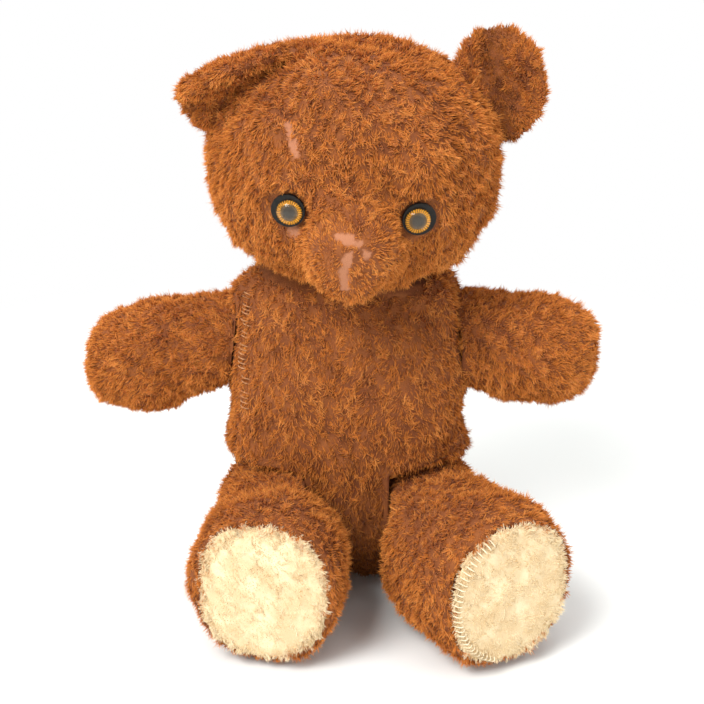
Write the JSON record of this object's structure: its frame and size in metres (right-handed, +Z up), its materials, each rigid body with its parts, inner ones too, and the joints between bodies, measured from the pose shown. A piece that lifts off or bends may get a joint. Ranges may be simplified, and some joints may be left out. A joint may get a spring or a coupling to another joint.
{
  "type": "jointed teddy bear",
  "caption": "Seated plush teddy bear in rust brown pile with amber glass eyes and pale foot pads; head, arms and legs turn on disc joints.",
  "frame": {"origin": "on the seat's flat face, under the middle of the neck, on the surface that the bear sits on", "axes": "+Z up, the bear faces -Y, and its left hand points to +X"},
  "size_m": [0.3106, 0.2084, 0.3395],
  "materials": {
    "plush": "rust brown plush, short dense pile",
    "sole_plush": "cream plush, flattened pile",
    "filling": "loose fibre",
    "card": "raw hardboard",
    "steel": "bright steel",
    "eye_glass": "clear domed glass, painted behind",
    "eye_backing": "black lacquer"
  },
  "bodies": {
    "torso": {"torso_cover": "plush", "torso_filling": "filling", "neck_inner_disc": "card", "neck_inner_washer": "steel", "right_shoulder_inner_disc": "card", "right_shoulder_inner_washer": "steel", "right_hip_inner_disc": "card", "right_hip_inner_washer": "steel", "left_shoulder_inner_disc": "card", "left_shoulder_inner_washer": "steel", "left_hip_inner_disc": "card", "left_hip_inner_washer": "steel"},
    "head": {"head_cover": "plush", "head_filling": "filling", "right_ear": "plush", "left_ear": "plush", "right_eye_glass": "eye_glass", "left_eye_glass": "eye_glass", "right_eye_backing": "eye_backing", "left_eye_backing": "eye_backing", "neck_outer_disc": "card", "neck_outer_washer": "steel", "neck_split_pin": "steel"},
    "right_arm": {"right_arm_cover": "plush", "right_arm_filling": "filling", "right_shoulder_outer_disc": "card", "right_shoulder_outer_washer": "steel", "right_shoulder_split_pin": "steel"},
    "right_leg": {"right_leg_cover": "plush", "right_leg_filling": "filling", "right_foot_pad": "sole_plush", "right_insole_card": "card", "right_hip_outer_disc": "card", "right_hip_outer_washer": "steel", "right_hip_split_pin": "steel"},
    "left_arm": {"left_arm_cover": "plush", "left_arm_filling": "filling", "left_shoulder_outer_disc": "card", "left_shoulder_outer_washer": "steel", "left_shoulder_split_pin": "steel"},
    "left_leg": {"left_leg_cover": "plush", "left_leg_filling": "filling", "left_foot_pad": "sole_plush", "left_insole_card": "card", "left_hip_outer_disc": "card", "left_hip_outer_washer": "steel", "left_hip_split_pin": "steel"}
  },
  "joints": [
    {"name": "neck", "type": "hinge", "parent": "torso", "child": "head", "pos_m": [0, 0, 0.198], "axis": [0.0698, -0.1045, 0.9921], "range_deg": [-85, 85]},
    {"name": "right_shoulder", "type": "hinge", "parent": "torso", "child": "right_arm", "pos_m": [-0.068, 0, 0.15], "axis": [-0.9902, -0.0692, 0.121], "continuous": true},
    {"name": "left_shoulder", "type": "hinge", "parent": "torso", "child": "left_arm", "pos_m": [0.068, 0, 0.15], "axis": [0.9902, -0.0692, 0.121], "continuous": true},
    {"name": "right_hip", "type": "hinge", "parent": "torso", "child": "right_leg", "pos_m": [-0.025, -0.018, 0.044], "axis": [1, 0, 0], "range_deg": [0, 90]},
    {"name": "left_hip", "type": "hinge", "parent": "torso", "child": "left_leg", "pos_m": [0.025, -0.018, 0.044], "axis": [1, 0, 0], "range_deg": [0, 90]}
  ]
}
